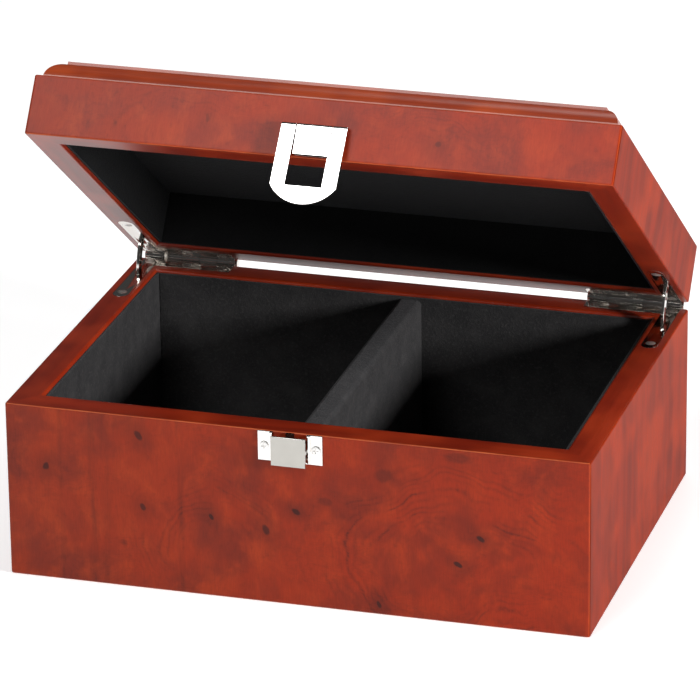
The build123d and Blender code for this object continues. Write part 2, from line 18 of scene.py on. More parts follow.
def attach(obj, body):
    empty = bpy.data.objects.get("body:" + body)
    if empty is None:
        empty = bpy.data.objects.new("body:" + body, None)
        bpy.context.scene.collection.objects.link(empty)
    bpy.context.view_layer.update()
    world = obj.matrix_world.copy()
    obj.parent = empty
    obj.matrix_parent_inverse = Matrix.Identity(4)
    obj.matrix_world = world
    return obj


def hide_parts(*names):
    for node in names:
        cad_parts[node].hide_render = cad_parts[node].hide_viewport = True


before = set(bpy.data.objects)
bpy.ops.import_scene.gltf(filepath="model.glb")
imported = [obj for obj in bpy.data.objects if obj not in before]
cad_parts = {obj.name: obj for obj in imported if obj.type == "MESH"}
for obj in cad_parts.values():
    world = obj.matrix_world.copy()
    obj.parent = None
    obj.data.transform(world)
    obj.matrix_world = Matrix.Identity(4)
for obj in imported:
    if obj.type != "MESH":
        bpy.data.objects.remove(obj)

LOG = logging.getLogger("chess_box")
MM = 0.001
WELD_DISTANCE = 2e-6
LID_REST_DEGREES = 36.5
LID_HINGE_MM = (0.0, 99.0, 84.2)
Colour = tuple[float, float, float]


def shade(red: float, green: float, blue: float) -> Colour:
    """Linear colour of a display shade.

    Args:
        red: Display red, 0 to 255.
        green: Display green, 0 to 255.
        blue: Display blue, 0 to 255.

    Returns:
        The linear red, green and blue.
    """
    def linear(part: float) -> float:
        """One channel without the display curve."""
        part /= 255.0
        return part / 12.92 if part <= 0.04045 else ((part + 0.055) / 1.055) ** 2.4

    return linear(red), linear(green), linear(blue)


class Side(Enum):
    """A side of the box, with the turn in degrees that brings it to the front."""

    FRONT = 0.0
    RIGHT = -90.0
    BACK = 180.0
    LEFT = 90.0


class Carrier(Enum):
    """The part whose shut pose a pattern is laid out in."""

    BASE = "base"
    LID = "lid"


class Grain(Enum):
    """The direction of straight grain in a board."""

    ALONG_X = "x"
    ALONG_Y = "y"
    UPRIGHT = "z"

    @property
    def stretch(self) -> Colour:
        """The scale of a pattern that runs along the grain."""
        return tuple(0.03 if axis == self.value else 1.0 for axis in "xyz")


# ---- Shader building ----
class Value:
    """A socket of a node tree that Python's operators work on."""

    def __init__(self, nodes: "Nodes", socket: bpy.types.NodeSocket) -> None:
        """Wrap one output socket.

        Args:
            nodes: The tree builder that the socket belongs to.
            socket: The output socket.
        """
        self.nodes = nodes
        self.socket = socket

    def __add__(self, other: "Value | float") -> "Value":
        """Sum."""
        return self.nodes.maths("ADD", self, other)

    __radd__ = __add__

    def __mul__(self, other: "Value | float") -> "Value":
        """Product."""
        return self.nodes.maths("MULTIPLY", self, other)

    __rmul__ = __mul__

    def __sub__(self, other: "Value | float") -> "Value":
        """Difference."""
        return self.nodes.maths("SUBTRACT", self, other)

    def __rsub__(self, other: "Value | float") -> "Value":
        """Difference from a plain number."""
        return self.nodes.maths("SUBTRACT", other, self)

    def __truediv__(self, other: "Value | float") -> "Value":
        """Quotient."""
        return self.nodes.maths("DIVIDE", self, other)

    def __pow__(self, other: float) -> "Value":
        """Power."""
        return self.nodes.maths("POWER", self, other)

    def sine(self) -> "Value":
        """Sine."""
        return self.nodes.maths("SINE", self)

    def size(self) -> "Value":
        """Absolute value."""
        return self.nodes.maths("ABSOLUTE", self)

    def least(self, other: "Value | float") -> "Value":
        """The smaller of two."""
        return self.nodes.maths("MINIMUM", self, other)

    def most(self, other: "Value | float") -> "Value":
        """The larger of two."""
        return self.nodes.maths("MAXIMUM", self, other)

    def rise(self, low: float, high: float, smooth: bool = True) -> "Value":
        """A step from 0 at low to 1 at high.

        Args:
            low: The value that gives 0.
            high: The value that gives 1, which may be the lower one.
            smooth: Whether the ends of the step are eased.

        Returns:
            The step.
        """
        kind = "SMOOTHSTEP" if smooth else "LINEAR"
        sockets = {"Value": self, "From Min": low, "From Max": high, "To Min": 0.0, "To Max": 1.0}
        if low > high:
            sockets |= {"From Min": high, "From Max": low, "To Min": 1.0, "To Max": 0.0}
        made = self.nodes.add("ShaderNodeMapRange", {"interpolation_type": kind}, sockets)
        return Value(self.nodes, made.outputs["Result"])


Input = "Value | float | Sequence[float]"


class Tree:
    """Adds nodes to a node tree."""

    def __init__(self, tree: bpy.types.NodeTree) -> None:
        """Take hold of a tree.

        Args:
            tree: The node tree.
        """
        self.tree = tree

    def add(self, kind: str, settings: dict | None = None, sockets: dict | None = None) -> bpy.types.Node:
        """Add a node.

        Args:
            kind: The node's type.
            settings: Properties of the node, set first. "stops" fills a colour ramp.
            sockets: Values or links by socket name or index.

        Returns:
            The node.
        """
        node = self.tree.nodes.new(kind)
        for name, setting in (settings or {}).items():
            if name == "stops":
                self._fill_ramp(node.color_ramp, setting)
            else:
                setattr(node, name, setting)
        for name, given in (sockets or {}).items():
            socket = node.inputs[name]
            if isinstance(given, list):
                for part in reversed(given):
                    self.tree.links.new(part.socket, socket)
            elif isinstance(given, Value):
                self.tree.links.new(given.socket, socket)
            elif isinstance(given, tuple) and len(given) == 3 and socket.type == "RGBA":
                socket.default_value = (*given, 1.0)
            else:
                socket.default_value = given
        return node

    @staticmethod
    def _fill_ramp(ramp: bpy.types.ColorRamp, stops: Sequence[tuple[float, Colour]]) -> None:
        """Set the stops of a colour ramp.

        Args:
            ramp: The ramp.
            stops: Positions with their colours.
        """
        while len(ramp.elements) < len(stops):
            ramp.elements.new(1.0)
        for element, (place, colour) in zip(ramp.elements, stops):
            element.position = place
            element.color = (*colour, 1.0)

    def maths(self, operation: str, first: Input, second: Input = 0.0) -> Value:
        """A Math node.

        Args:
            operation: The node's operation.
            first: The first value.
            second: The second value.

        Returns:
            The result.
        """
        node = self.add("ShaderNodeMath", {"operation": operation}, {0: first, 1: second})
        return Value(self, node.outputs[0])


class Nodes(Tree):
    """Builds one material's node tree."""

    def __init__(self, name: str) -> None:
        """Start an empty material.

        Args:
            name: The name of the material.
        """
        self.material = bpy.data.materials.new(name)
        self.material.use_nodes = True
        super().__init__(self.material.node_tree)
        self.tree.nodes.clear()

    def vector(self, operation: str, first: Input, second: Input = (0.0, 0.0, 0.0)) -> Value:
        """A Vector Math node.

        Args:
            operation: The node's operation.
            first: The first vector.
            second: The second vector.

        Returns:
            The result, a number for LENGTH and a vector otherwise.
        """
        node = self.add("ShaderNodeVectorMath", {"operation": operation}, {0: first, 1: second})
        return Value(self, node.outputs["Value" if operation == "LENGTH" else "Vector"])

    def blend(self, amount: Input, first: Input, second: Input, mode: str = "MIX") -> Value:
        """A Mix node on colours.

        Args:
            amount: How far towards the second colour.
            first: The first colour.
            second: The second colour.
            mode: The blend mode.

        Returns:
            The mixed colour.
        """
        settings = {"data_type": "RGBA", "blend_type": mode, "clamp_factor": True}
        node = self.add("ShaderNodeMix", settings, {0: amount, 6: first, 7: second})
        return Value(self, node.outputs[2])

    def ramp(self, amount: Value, stops: Sequence[tuple[float, Colour]]) -> Value:
        """A colour ramp.

        Args:
            amount: Where on the ramp, 0 to 1.
            stops: Positions with their colours.

        Returns:
            The colour.
        """
        node = self.add("ShaderNodeValToRGB", {"stops": stops}, {"Fac": amount})
        return Value(self, node.outputs["Color"])

    def noise(self, place: Value, period: float, detail: float = 2.0, rough: float = 0.5,
              colour: bool = False) -> Value:
        """Noise whose lumps are about one period across.

        Args:
            place: Coordinates in millimetres.
            period: Size of the lumps in millimetres.
            detail: Octaves.
            rough: Weight of the finer octaves.
            colour: Whether to return the vector output.

        Returns:
            The noise, 0 to 1.
        """
        sockets = {"Vector": place, "Scale": 1.0 / period, "Detail": detail, "Roughness": rough}
        node = self.add("ShaderNodeTexNoise", {"noise_dimensions": "3D"}, sockets)
        return Value(self, node.outputs["Color" if colour else "Fac"])

    def warp(self, place: Value, period: float, reach: float, detail: float = 2.0) -> Value:
        """Coordinates pushed about by noise.

        Args:
            place: Coordinates in millimetres.
            period: Size of the noise's lumps.
            reach: How far the noise pushes.
            detail: Octaves.

        Returns:
            The pushed coordinates.
        """
        drift = self.vector("SUBTRACT", self.noise(place, period, detail, colour=True), (0.5, 0.5, 0.5))
        return self.vector("ADD", place, self.scaled(drift, (reach, reach, reach)))

    def scaled(self, place: Value, by: Colour) -> Value:
        """Coordinates times a vector."""
        return self.vector("MULTIPLY", place, by)

    def parts(self, place: Value) -> tuple[Value, Value, Value]:
        """The X, Y and Z of a vector."""
        node = self.add("ShaderNodeSeparateXYZ", sockets={0: place})
        return tuple(Value(self, output) for output in node.outputs)

    def coordinates(self, carrier: Carrier, side: Side = Side.FRONT) -> Value:
        """Millimetres in the frame of the shut box, turned so that a side lies at the front.

        Args:
            carrier: The part that the surface belongs to.
            side: The side that comes to the front.

        Returns:
            The coordinates. For the lid they count from the hinge pins.
        """
        place = Value(self, self.add("ShaderNodeTexCoord").outputs["Object"])
        if carrier is Carrier.LID:
            shut = {
                "Vector": place,
                "Location": tuple(part * MM for part in LID_HINGE_MM),
                "Rotation": (-math.radians(LID_REST_DEGREES), 0.0, 0.0),
            }
            place = Value(self, self.add("ShaderNodeMapping", {"vector_type": "TEXTURE"}, shut).outputs[0])
        turned = {
            "Vector": place,
            "Rotation": (0.0, 0.0, math.radians(side.value)),
            "Scale": (1.0 / MM, 1.0 / MM, 1.0 / MM),
        }
        return Value(self, self.add("ShaderNodeMapping", {"vector_type": "POINT"}, turned).outputs[0])

    def bump(self, height: Value, depth_mm: float, strength: float = 1.0) -> Value:
        """A normal from a height.

        Args:
            height: The height, 0 to 1.
            depth_mm: What a height of 1 stands for.
            strength: Strength of the effect.

        Returns:
            The normal.
        """
        sockets = {"Height": height, "Distance": depth_mm * MM, "Strength": strength}
        return Value(self, self.add("ShaderNodeBump", sockets=sockets).outputs["Normal"])

    def finish(self, sockets: dict) -> bpy.types.Material:
        """Close the tree with its shader.

        Args:
            sockets: Values or links of the Principled shader.

        Returns:
            The material.
        """
        shader = self.add("ShaderNodeBsdfPrincipled", sockets=sockets)
        output = self.add("ShaderNodeOutputMaterial")
        self.tree.links.new(shader.outputs["BSDF"], output.inputs["Surface"])
        return self.material


# ---- Finishes ----
@dataclass(frozen=True)
class Knot:
    """A pin knot in the veneer: its place and size on the face, in millimetres."""

    across: float
    up: float
    width: float
    height: float
    lean: float = 0.0
    depth: float = 0.8


@dataclass(frozen=True)
class GrowthEye:
    """Curved growth lines round one place in the veneer, in millimetres."""

    across: float
    up: float
    stretch: float
    inner: float
    outer: float
    spacing: float
    depth: float


@dataclass(frozen=True)
class Stain:
    """The colours of one stained surface."""

    ground: Colour
    light: Colour
    dark: Colour
    knot: Colour = shade(60, 22, 16)
    # edge: colour of the painted highlight along the rounded edges of the face, where they catch the light.
    edge: Colour = shade(186, 92, 48)


@dataclass(frozen=True)
class BurlVeneer:
    """Stained burl veneer under a satin lacquer, with a painted highlight along its rounded edges."""

    name: str
    carrier: Carrier
    side: Side
    stain: Stain
    half_width: float
    edge_heights: tuple[float, float]
    knots: tuple[Knot, ...] = ()
    eyes: tuple[GrowthEye, ...] = ()
    streaks: tuple[tuple[float, float, float], ...] = ()
    left_tint: Colour = (0.94, 1.15, 1.6)
    right_tint: Colour = (1.06, 0.95, 0.8)
    gloss: float = 0.42
    haze: float = 0.04
    shine: float = 0.22

    def build(self) -> bpy.types.Material:
        """The material."""
        nodes = Nodes(self.name)
        stain = self.stain
        place = nodes.coordinates(self.carrier, self.side)
        drifted = nodes.warp(place, 42.0, 26.0)
        mottle = nodes.noise(drifted, 27.0, 3.0, 0.55)
        flame = nodes.noise(nodes.scaled(drifted, (1.0, 1.0, 0.75)), 12.0, 4.0, 0.6)
        speckle = nodes.noise(nodes.warp(place, 7.0, 3.0), 2.6, 3.0, 0.6)
        fibre = nodes.noise(nodes.scaled(place, (1.0, 1.0, 0.12)), 0.55, 2.0, 0.6)
        across, _, _ = nodes.parts(place)
        colour = nodes.blend(mottle.rise(0.28, 0.64), stain.dark, stain.ground)
        colour = nodes.blend(flame.rise(0.42, 0.8) * 0.8, colour, stain.light)
        drift = nodes.blend(across.rise(-140.0, 140.0, False), self.left_tint, self.right_tint)
        colour = nodes.blend(1.0, colour, drift, "MULTIPLY")
        darkness = self._figure(nodes, drifted) + self._streaks(nodes, place)
        darkness = (darkness + speckle.rise(0.56, 0.74) * 0.16).least(0.7)
        colour = nodes.blend(darkness, colour, stain.knot)
        colour = nodes.blend(self._knots(nodes, place), colour, stain.knot)
        grey = fibre.rise(0.25, 0.8, False) * 0.24 + 0.88
        tint = nodes.add("ShaderNodeCombineColor", sockets={0: grey, 1: grey, 2: grey})
        colour = nodes.blend(1.0, colour, Value(nodes, tint.outputs[0]), "MULTIPLY")
        # Painted highlight: a lighter line where the rounded edges catch the light.
        colour = nodes.blend(self._edge_highlight(nodes, place), colour, stain.edge)
        roughness = mottle * 0.08 + (self.gloss - 0.04)
        return nodes.finish({
            "Base Color": colour,
            "Roughness": roughness,
            "Normal": nodes.bump(fibre, 0.01, 0.5),
            "Specular IOR Level": self.shine,
            "Coat Weight": self.haze,
            "Coat Roughness": 0.3,
        })

    def _edge_highlight(self, nodes: Nodes, place: Value) -> Value:
        """A thin painted highlight along the long edge of the face and down its ends, where the rounded edges
        catch the light.
        """
        across, _, up = nodes.parts(place)
        low, high = self.edge_heights
        patchy = nodes.noise(place, 14.0, 2.0).rise(0.3, 0.7) * 0.5 + 0.4
        ends = across.size().rise(self.half_width - 0.75, self.half_width - 0.2)
        rim = up.rise(high - 0.55, high - 0.1).most(up.rise(low + 0.55, low + 0.1))
        return ends.most(rim) * patchy

    def _figure(self, nodes: Nodes, drifted: Value) -> Value:
        """Wavy growth lines, faint everywhere and stronger on one flank of each eye."""
        rough_place = nodes.warp(drifted, 15.0, 5.0)
        wave = nodes.noise(nodes.scaled(rough_place, (0.5, 0.5, 1.6)), 9.0, 2.0, 0.6)
        faint = (wave * (math.tau * 9.0)).sine() * 0.5 + 0.5
        total = (faint ** 3.0) * 0.11 * nodes.noise(drifted, 34.0, 1.0).rise(0.44, 0.62)
        speckle = nodes.noise(nodes.scaled(rough_place, (0.5, 1.0, 1.0)), 0.9, 2.0, 0.6)
        fine = speckle.rise(0.3, 0.7) * 0.6 + 0.4
        for eye in self.eyes:
            centred = nodes.vector("SUBTRACT", rough_place, (eye.across, 0.0, eye.up))
            flat = nodes.scaled(centred, (1.0 / eye.stretch, 0.0, 1.0))
            radius = nodes.vector("LENGTH", flat)
            left, _, up = nodes.parts(flat)
            flank = (up * 0.8 - left * 0.6).rise(-eye.inner, eye.inner * 0.6) * 0.85 + 0.15
            phase = radius * (math.tau / eye.spacing) + nodes.noise(drifted, 18.0, 2.0) * 14.0
            lines = phase.sine() * 0.5 + 0.5
            coarse = (phase * 0.37).sine() * 0.35 + 0.65
            ring = radius.rise(eye.inner, eye.inner * 1.5) * radius.rise(eye.outer, eye.outer * 0.5)
            broken = nodes.noise(drifted, 16.0, 3.0).rise(0.4, 0.62)
            total = total + (lines ** 2.0) * coarse * ring * broken * fine * flank * eye.depth
        return total

    def _streaks(self, nodes: Nodes, place: Value) -> Value | float:
        """Upright darker streaks: each has a place, a width and a depth."""
        if not self.streaks:
            return 0.0
        across, _, _ = nodes.parts(nodes.warp(nodes.scaled(place, (1.0, 1.0, 0.25)), 6.0, 2.5))
        ragged = nodes.noise(nodes.scaled(place, (0.6, 1.0, 0.05)), 1.4).rise(0.3, 0.7)
        total = 0.0
        for middle, width, depth in self.streaks:
            total = (across - middle).size().rise(width, 0.0) * ragged * depth + total
        return total

    def _knots(self, nodes: Nodes, place: Value) -> Value:
        """Dark pin knots with a soft halo."""
        loose = nodes.warp(place, 5.0, 1.6)
        spots = nodes.add("ShaderNodeTexVoronoi", {"feature": "F1"}, {"Vector": loose, "Scale": 1.0 / 40.0})
        total = Value(nodes, spots.outputs["Distance"]).rise(0.055, 0.012) * 0.4
        for knot in self.knots:
            moved = {
                "Vector": loose,
                "Location": (knot.across, 0.0, knot.up),
                "Rotation": (0.0, math.radians(knot.lean), 0.0),
                "Scale": (knot.width, 1.0e6, knot.height),
            }
            local = Value(nodes, nodes.add("ShaderNodeMapping", {"vector_type": "TEXTURE"}, moved).outputs[0])
            radius = nodes.vector("LENGTH", local)
            core = radius.rise(1.0, 0.45) * knot.depth
            halo = radius.rise(4.6, 0.4) * (knot.depth * 0.3)
            total = total.most(core).most(halo)
        return total


@dataclass(frozen=True)
class StainedWood:
    """Straight-grained stained wood under a satin lacquer."""

    name: str
    carrier: Carrier
    grain: Grain
    stain: Stain
    gloss: float = 0.42
    figure: float = 1.0
    haze: float = 0.03
    shine: float = 0.2
    bend: tuple[float, float] = (60.0, 5.0)

    def build(self) -> bpy.types.Material:
        """The material."""
        nodes = Nodes(self.name)
        place = nodes.coordinates(self.carrier)
        stretch = self.grain.stretch
        bent = nodes.scaled(nodes.warp(place, *self.bend, 1.0), stretch)
        streaks = nodes.noise(bent, 1.9, 3.0, 0.65)
        bands = nodes.noise(bent, 9.0, 2.0, 0.5)
        clouds = nodes.noise(place, 38.0, 2.0, 0.5)
        pores = nodes.noise(bent, 0.42, 1.0, 0.5)
        colour = nodes.blend(bands.rise(0.3, 0.7), self.stain.dark, self.stain.ground)
        colour = nodes.blend(clouds.rise(0.42, 0.7) * 0.8, colour, self.stain.light)
        shading = streaks.rise(0.28, 0.72, False) * 0.3 + pores.rise(0.3, 0.6, False) * 0.12
        grey = shading * self.figure + (1.0 - 0.24 * self.figure)
        tint = nodes.add("ShaderNodeCombineColor", sockets={0: grey, 1: grey, 2: grey})
        colour = nodes.blend(1.0, colour, Value(nodes, tint.outputs[0]), "MULTIPLY")
        return nodes.finish({
            "Base Color": colour,
            "Roughness": streaks * 0.1 + (self.gloss - 0.05),
            "Normal": nodes.bump(streaks + pores * 0.5, 0.012, 0.5),
            "Specular IOR Level": self.shine,
            "Coat Weight": self.haze,
            "Coat Roughness": 0.3,
        })


@dataclass(frozen=True)
class FlockLining:
    """Short black flock glued on card, with a little lint on it."""

    name: str
    pile: Colour
    worn: Colour
    lint: Colour = shade(150, 150, 152)

    def build(self) -> bpy.types.Material:
        """The material."""
        nodes = Nodes(self.name)
        place = nodes.coordinates(Carrier.BASE)
        pile = nodes.noise(place, 0.5, 2.0, 0.7)
        tufts = nodes.noise(nodes.warp(place, 5.0, 2.0), 1.5, 3.0, 0.65)
        brushed = nodes.noise(nodes.warp(place, 22.0, 9.0), 11.0, 4.0, 0.62)
        colour = nodes.blend(brushed.rise(0.3, 0.8) * 0.4 + 0.2, self.pile, self.worn)
        colour = nodes.blend(tufts.rise(0.5, 0.7) * 0.6, colour, self.worn)
        colour = nodes.blend(pile.rise(0.45, 0.75) * 0.6, colour, self.worn)
        specks = nodes.add("ShaderNodeTexVoronoi", {"feature": "F1"}, {"Vector": place, "Scale": 1.0 / 8.0})
        speck = Value(nodes, specks.outputs["Distance"]).rise(0.04, 0.02)
        chosen = nodes.noise(place, 5.0, 1.0).rise(0.62, 0.66)
        colour = nodes.blend(speck * chosen * 0.5, colour, self.lint)
        return nodes.finish({
            "Base Color": colour,
            "Roughness": 0.95,
            "Normal": nodes.bump(pile * 0.5 + tufts + brushed * 0.2, 0.35, 0.9),
            "Specular IOR Level": 0.15,
            "Sheen Weight": 0.08,
            "Sheen Roughness": 0.6,
            "Sheen Tint": (0.75, 0.76, 0.8, 1.0),
        })


@dataclass(frozen=True)
class PlatedMetal:
    """Bright plating on pressed steel, with faint rubbing marks."""

    name: str
    base: Colour
    gloss: float
    handled: float = 0.06

    def build(self) -> bpy.types.Material:
        """The material."""
        nodes = Nodes(self.name)
        place = nodes.coordinates(Carrier.BASE)
        cloud = nodes.noise(place, 6.0, 3.0, 0.6)
        rubbed = nodes.noise(nodes.scaled(place, (0.3, 1.0, 1.6)), 0.5, 2.0, 0.6)
        dull = nodes.blend(cloud.rise(0.35, 0.8) * 0.35, self.base, tuple(part * 0.86 for part in self.base))
        return nodes.finish({
            "Base Color": dull,
            "Metallic": 1.0,
            "Roughness": cloud * self.handled + rubbed * self.handled + self.gloss,
            "Normal": nodes.bump(cloud, 0.012, 0.12),
        })


@dataclass(frozen=True)
class PaleFloor:
    """The plain pale floor."""

    name: str = "pale_floor"
    paint: Colour = (0.9, 0.9, 0.9)
    glow: float = 0.4

    def build(self) -> bpy.types.Material:
        """The material."""
        nodes = Nodes(self.name)
        place = nodes.coordinates(Carrier.BASE)
        cloud = nodes.noise(place, 400.0, 2.0, 0.5)
        colour = nodes.blend(cloud * 0.3, self.paint, tuple(part * 0.985 for part in self.paint))
        return nodes.finish({
            "Base Color": colour,
            "Roughness": 0.9,
            "Specular IOR Level": 0.2,
            "Emission Color": self.paint,
            "Emission Strength": self.glow,
        })


FRONT_KNOTS = (
    Knot(-117.2, 55.1, 2.0, 2.7, 20.0, 0.94),
    Knot(-72.8, 74.7, 2.2, 3.9, -25.0, 0.88),
    Knot(-71.4, 40.1, 1.8, 2.5, -30.0, 0.88),
    Knot(-39.3, 38.8, 1.6, 2.0, -30.0, 1.0),
    Knot(-13.5, 35.3, 2.2, 3.9, -20.0, 0.88),
    Knot(0.7, 45.8, 3.4, 1.7, 25.0, 1.0),
    Knot(14.3, 52.2, 4.7, 2.9, 10.0, 0.44),
    Knot(86.0, 42.1, 3.0, 1.7, 38.0, 1.0),
    Knot(75.6, 28.5, 3.1, 1.7, 35.0, 1.0),
    Knot(38.9, 4.8, 1.4, 2.7, -20.0, 1.0),
    Knot(41.4, 67.8, 5.9, 4.7, 0.0, 0.5),
    Knot(75.4, 80.0, 8.5, 3.4, 0.0, 0.5),
)
FRONT_EYES = (
    GrowthEye(80.0, 26.0, 1.5, 17.0, 62.0, 2.8, 0.7),
    GrowthEye(-38.0, 24.0, 1.2, 12.0, 48.0, 2.8, 0.42),
    GrowthEye(104.0, -14.0, 1.6, 8.0, 34.0, 2.8, 0.8),
)
FRONT_STREAKS = ((-53.5, 2.2, 0.42), (-95.0, 2.6, 0.4), (-110.0, 2.0, 0.25), (-89.0, 3.0, 0.22))
LID_KNOTS = (
    Knot(55.0, 12.0, 2.0, 2.2, 20.0, 0.6),
    Knot(-52.0, 15.0, 1.2, 3.2, -10.0, 0.45),
    Knot(-94.0, 9.0, 1.0, 1.2, 0.0, 0.4),
)
LID_EYES = (GrowthEye(52.0, 10.0, 1.5, 5.0, 40.0, 2.4, 0.3), GrowthEye(-60.0, 8.0, 1.6, 6.0, 44.0, 2.6, 0.25))

FRONT_STAIN = Stain(shade(139, 39, 11), shade(157, 51, 15), shade(112, 33, 15))
LID_STAIN = Stain(shade(152, 46, 18), shade(168, 58, 22), shade(128, 39, 20))
SIDE_STAIN = Stain(shade(126, 34, 7), shade(144, 44, 9), shade(102, 27, 7))
BOARD_STAIN = Stain(shade(146, 42, 19), shade(164, 54, 25), shade(114, 30, 15))
MOULDING_STAIN = Stain(shade(152, 54, 18), shade(168, 66, 22), shade(132, 44, 14))
BASE_HEIGHTS = (0.0, 84.0)
LID_HEIGHTS = (0.2, 28.2)
HALF_WIDTH = 136.0


def dress_walls() -> None:
    """Finish the veneers of the four sides of the base and the lid."""
    for carrier in Carrier:
        base = carrier is Carrier.BASE
        for side in (Side.FRONT, Side.BACK):
            node = f"{carrier.value}_{side.name.lower()}_veneer"
            figure = {"knots": (), "eyes": (), "streaks": ()}
            if side is Side.FRONT:
                figure["knots"] = FRONT_KNOTS if base else LID_KNOTS
                figure["eyes"] = FRONT_EYES if base else LID_EYES
                figure["streaks"] = FRONT_STREAKS if base else ()
            burl = BurlVeneer(
                f"{node}_burl", carrier, side, FRONT_STAIN if base else LID_STAIN,
                HALF_WIDTH, BASE_HEIGHTS if base else LID_HEIGHTS,
                haze=0.03, shine=0.18, **figure,
            )
            dress(node, burl.build())
        upright = StainedWood(
            f"{carrier.value}_side_veneer", carrier, Grain.UPRIGHT, SIDE_STAIN,
            gloss=0.5, haze=0.0, shine=0.05, bend=(30.0, 12.0),
        ).build()
        for side in (Side.LEFT, Side.RIGHT):
            dress(f"{carrier.value}_{side.name.lower()}_veneer", upright)


# ---- Mesh building ----
def shaded(mesh: bpy.types.Mesh, degrees: float = 35.0) -> bpy.types.Mesh:
    """Smooth the faces of a mesh and keep its sharp edges.

    Args:
        mesh: The mesh.
        degrees: The angle from which an edge stays sharp.

    Returns:
        The same mesh.
    """
    mesh.polygons.foreach_set("use_smooth", [True] * len(mesh.polygons))
    mesh.set_sharp_from_angle(angle=math.radians(degrees))
    return mesh


def add_piece(name: str, mesh: bpy.types.Mesh, material: bpy.types.Material) -> bpy.types.Object:
    """Put a mesh in the scene.

    Args:
        name: The name of the piece.
        mesh: Its mesh, in the frame of the box.
        material: Its finish.

    Returns:
        The object.
    """
    mesh.materials.clear()
    mesh.materials.append(material)
    piece = bpy.data.objects.new(name, mesh)
    bpy.context.scene.collection.objects.link(piece)
    return piece


def baked(piece: bpy.types.Object) -> bpy.types.Mesh:
    """The mesh of an object with its modifiers applied, and the object removed.

    Args:
        piece: The object with modifiers.

    Returns:
        The plain mesh.
    """
    bpy.context.view_layer.update()
    graph = bpy.context.evaluated_depsgraph_get()
    mesh = bpy.data.meshes.new_from_object(piece.evaluated_get(graph))
    bpy.data.objects.remove(piece)
    return mesh


@dataclass
class EasedCopy:
    """A CAD node's shape with its sharp edges eased, as pressing or sanding leaves them."""

    node: str
    body: str
    slot: str
    material: bpy.types.Material
    ease_mm: float = 0.15
    segments: int = 2
    ease_degrees: float = 40.0
    flat_degrees: float = 0.6

    def build(self) -> bpy.types.Object:
        """Make the piece, fasten it to its body and let it stand for the node.

        Returns:
            The piece.
        """
        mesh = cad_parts[self.node].data.copy()
        work = bmesh.new()
        work.from_mesh(mesh)
        bmesh.ops.remove_doubles(work, verts=work.verts, dist=WELD_DISTANCE)
        bmesh.ops.dissolve_limit(
            work, angle_limit=math.radians(self.flat_degrees), verts=work.verts, edges=work.edges
        )
        work.to_mesh(mesh)
        work.free()
        rough = add_piece(f"{self.node}_rough", shaded(mesh), self.material)
        bevel = rough.modifiers.new("ease", "BEVEL")
        bevel.width = self.ease_mm * MM
        bevel.segments = self.segments
        bevel.limit_method = "ANGLE"
        bevel.angle_limit = math.radians(self.ease_degrees)
        bevel.use_clamp_overlap = True
        bevel.harden_normals = True
        piece = add_piece(f"{self.node}_eased", baked(rough), self.material)
        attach(piece, self.body)
        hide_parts(self.node)
        LOG.info("%s: %d faces on %s", piece.name, len(piece.data.polygons), self.body)
        return piece


# ---- Stage ----
@dataclass
class SoftLight:
    """A large soft lamp of the studio."""

    name: str
    azimuth: float
    elevation: float
    distance: float
    width: float
    height: float
    watts: float
    # A lamp that is small and strong would burn out any face that mirrors it.
    mirrored: bool = True
    aim: Colour = (0.0, 0.0, 0.09)

    def build(self) -> None:
        """Put the lamp in the scene, facing its aim."""
        lamp = bpy.data.lights.new(self.name, "AREA")
        lamp.shape = "RECTANGLE"
        lamp.size, lamp.size_y, lamp.energy = self.width, self.height, self.watts
        turn, rise = math.radians(self.azimuth), math.radians(self.elevation)
        away = Vector((math.sin(turn) * math.cos(rise), -math.cos(turn) * math.cos(rise), math.sin(rise)))
        held = bpy.data.objects.new(self.name, lamp)
        held.visible_glossy = self.mirrored
        held.location = Vector(self.aim) + away * self.distance
        held.rotation_euler = (-away).to_track_quat("-Z", "Y").to_euler()
        bpy.context.scene.collection.objects.link(held)


